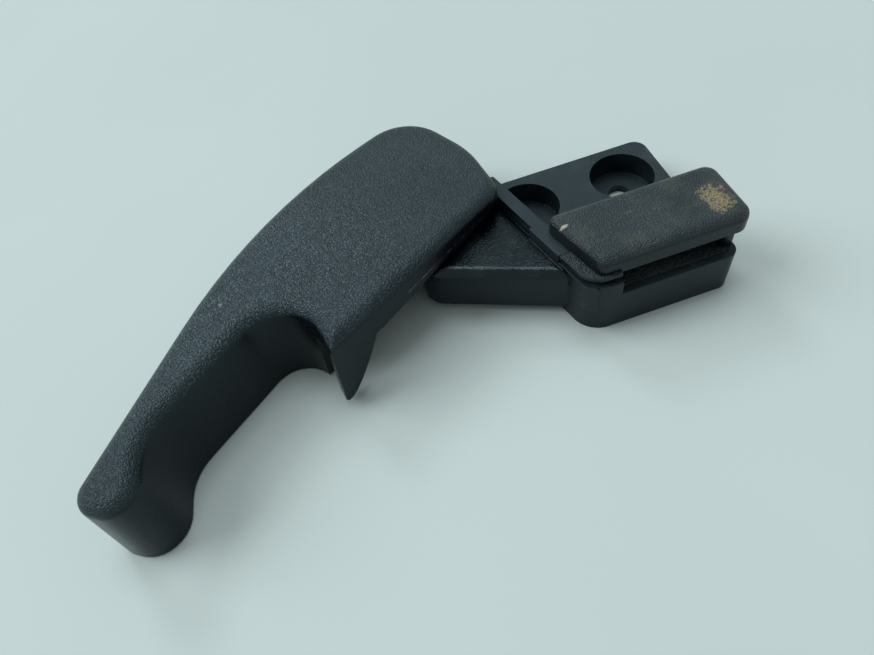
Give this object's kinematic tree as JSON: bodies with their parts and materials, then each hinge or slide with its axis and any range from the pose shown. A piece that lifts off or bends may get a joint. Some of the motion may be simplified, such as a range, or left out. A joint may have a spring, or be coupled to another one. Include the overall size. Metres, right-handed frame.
{
  "type": "hood release handle",
  "caption": "Curved pull lever with a finger recess, turning on a flat screw-on bracket with a textured trim cap and trim slot.",
  "frame": {"origin": "on the bracket's back face, midway between its two screw holes", "axes": "+X along the screw holes away from the lever, +Y towards the bracket's plain back edge, +Z out of the back face towards the lever's upper face"},
  "size_m": [0.1777, 0.0991, 0.0264],
  "materials": {
    "grained_plastic": "near-black moulded plastic with a fine leather grain",
    "satin_plastic": "near-black moulded plastic, plain satin walls",
    "cap_plastic": "near-black grained plastic with dust and a dried dirt patch",
    "steel": "zinc-plated steel"
  },
  "bodies": {
    "base": {"bracket": "satin_plastic", "trim_cap": "cap_plastic"},
    "lever": {"handle": "grained_plastic", "pivot_washer": "steel", "pivot_screw": "steel"}
  },
  "joints": [
    {"name": "lever_pull", "type": "hinge", "parent": "base", "child": "lever", "pos_m": [-0.05, 0.008, 0], "axis": [0, 0, -1], "range_deg": [0, 50]}
  ]
}
